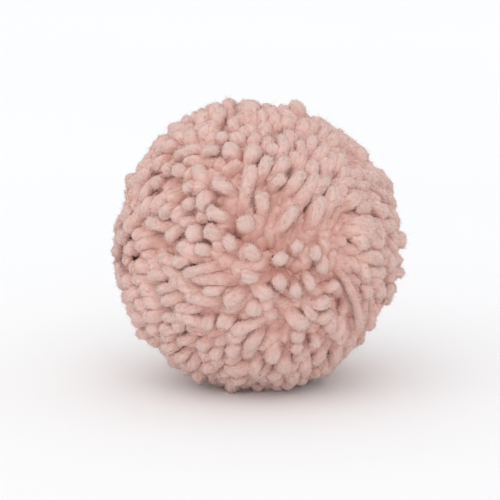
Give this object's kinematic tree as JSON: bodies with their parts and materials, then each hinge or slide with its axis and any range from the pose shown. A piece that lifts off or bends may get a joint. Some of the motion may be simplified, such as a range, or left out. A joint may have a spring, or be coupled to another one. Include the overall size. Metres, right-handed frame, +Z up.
{
  "type": "yarn pom pom",
  "caption": "Round pom pom of thick soft yarn, its cut strands fanned into a full ball from one tied middle, with a small level spot to rest on.",
  "frame": {"origin": "on the surface that the ball rests on, under the middle of its bounding box", "axes": "+Z up, away from the surface; -Y out of the ball's best face; +X to that face's right"},
  "size_m": [0.1028, 0.1014, 0.0987],
  "materials": {
    "yarn": "matt, softly felted single-ply yarn, blush pink"
  },
  "bodies": {
    "root": {"pompom": "yarn"}
  },
  "joints": []
}
